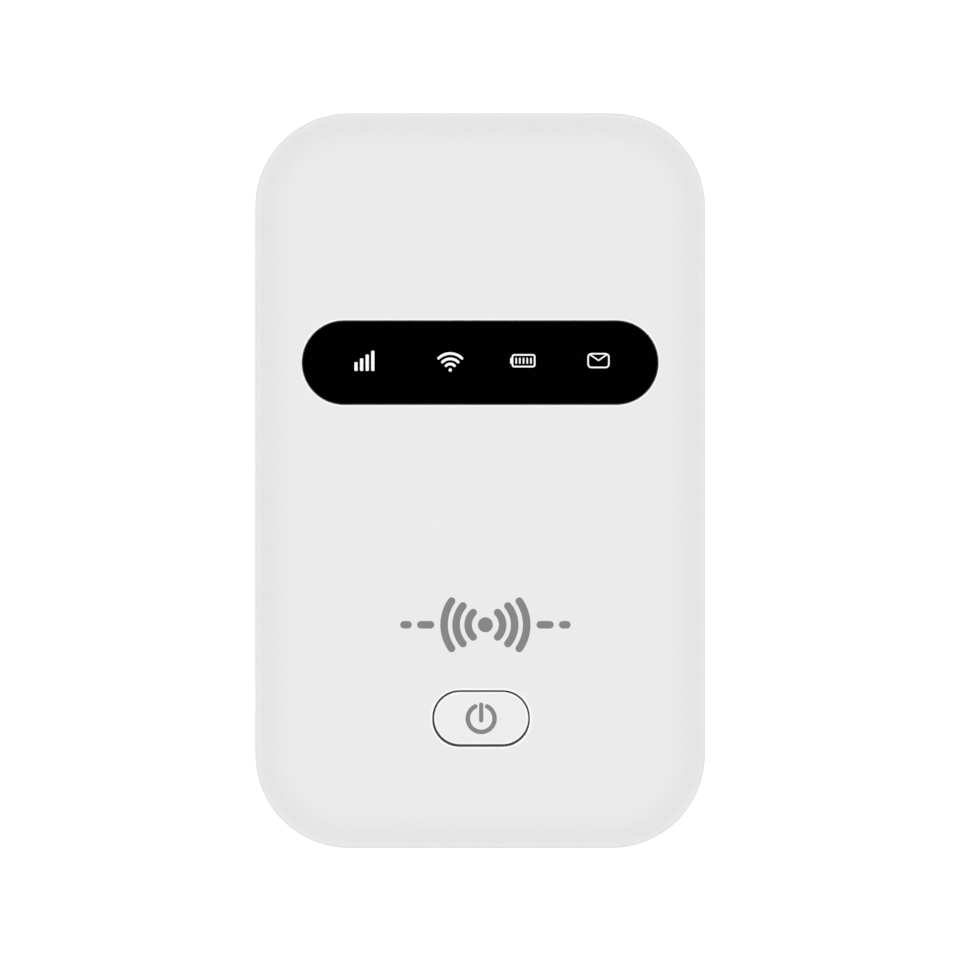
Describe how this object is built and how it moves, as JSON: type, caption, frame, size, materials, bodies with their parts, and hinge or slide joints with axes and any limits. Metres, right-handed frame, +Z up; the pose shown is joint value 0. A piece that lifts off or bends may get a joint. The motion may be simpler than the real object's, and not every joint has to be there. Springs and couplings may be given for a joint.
{
  "type": "mobile hotspot",
  "caption": "Pocket mobile hotspot: rounded white slab with a black indicator window, power button, lift-off back cover, removable battery, SIM socket and USB port.",
  "frame": {"origin": "middle of the bottom end, on the surface that the hotspot stands on", "axes": "+Z up along the housing's length, +X to the right seen from the front, +Y from the front face to the back cover"},
  "size_m": [0.06, 0.0141, 0.098],
  "materials": {
    "shell": "fine matte moulded white",
    "button": "fine matte moulded white",
    "chassis": "matte moulded charcoal",
    "black_plastic": "matte moulded black",
    "window": "polished, back-printed black",
    "tape": "double-sided foam tape",
    "diffuser": "frosted film",
    "led": "clear resin over phosphor",
    "board": "solder mask over copper",
    "chip": "moulded epoxy",
    "ferrite": "pressed ferrite",
    "ceramic": "ceramic with tinned ends",
    "tinned_steel": "tin-plated sheet",
    "socket_steel": "nickel-plated sheet",
    "screw_steel": "zinc-nickel plated",
    "gold": "gold-plated contact",
    "antenna_film": "polyimide over copper",
    "label": "blank printed film",
    "battery_wrap": "shrink film over a foil cell",
    "sim_plastic": "plain card plastic",
    "foam": "soft closed-cell foam",
    "legend": "printed grey ink",
    "lit_symbol": "symbols lit from behind"
  },
  "bodies": {
    "housing": {"front_shell": "shell", "rear_chassis": "chassis", "housing_screws": "screw_steel", "bay_label": "label", "display_window": "window", "window_adhesive": "tape", "diffuser_film": "diffuser", "light_baffle": "black_plastic", "indicator_leds": "led", "main_board": "board", "modem_shield": "tinned_steel", "wifi_shield": "tinned_steel", "modem_chip": "chip", "memory_chip": "chip", "wifi_chip": "chip", "power_chip": "chip", "rf_amplifiers": "chip", "power_inductors": "ferrite", "crystal_oscillator": "tinned_steel", "board_passives": "ceramic", "power_switch_body": "tinned_steel", "reset_switch_body": "tinned_steel", "usb_socket_shell": "socket_steel", "usb_socket_tongue": "black_plastic", "sim_socket_base": "black_plastic", "sim_socket_cover": "socket_steel", "sim_socket_contacts": "gold", "battery_connector": "black_plastic", "battery_contact_springs": "gold", "main_antenna": "antenna_film", "diversity_antenna": "antenna_film", "wifi_antenna": "antenna_film", "antenna_clips": "gold"},
    "power_button": {"power_button": "button"},
    "power_plunger": {"power_switch_plunger": "black_plastic"},
    "reset_plunger": {"reset_switch_plunger": "black_plastic"},
    "sim": {"sim_card": "sim_plastic"},
    "battery": {"battery_cell": "battery_wrap", "battery_end_cap": "black_plastic", "battery_terminals": "gold", "battery_label": "label"},
    "cover": {"back_cover": "shell", "cover_foam_pad": "foam"}
  },
  "joints": [
    {"name": "power_button_press", "type": "slide", "parent": "housing", "child": "power_button", "axis": [0, 1, 0], "range_m": [0, 0.00025], "stiffness_N_per_m": 600, "springref_m": -0.0015},
    {"name": "power_switch_travel", "type": "slide", "parent": "housing", "child": "power_plunger", "axis": [0, 1, 0], "range_m": [0, 0.00025]},
    {"name": "reset_press", "type": "slide", "parent": "housing", "child": "reset_plunger", "axis": [0, -1, 0], "range_m": [0, 0.0002], "stiffness_N_per_m": 600, "springref_m": -0.001},
    {"name": "battery_lift", "type": "slide", "parent": "housing", "child": "battery", "axis": [0, 1, 0], "range_m": [0, 0.02]},
    {"name": "cover_lift", "type": "slide", "parent": "battery", "child": "cover", "axis": [0, 1, 0], "range_m": [0, 0.025]},
    {"name": "sim_slide", "type": "slide", "parent": "housing", "child": "sim", "axis": [-1, 0, 0], "range_m": [-0.012, 0]}
  ],
  "couplings": [
    {"joint": "power_switch_travel", "follows": "power_button_press", "ratio": 1}
  ]
}
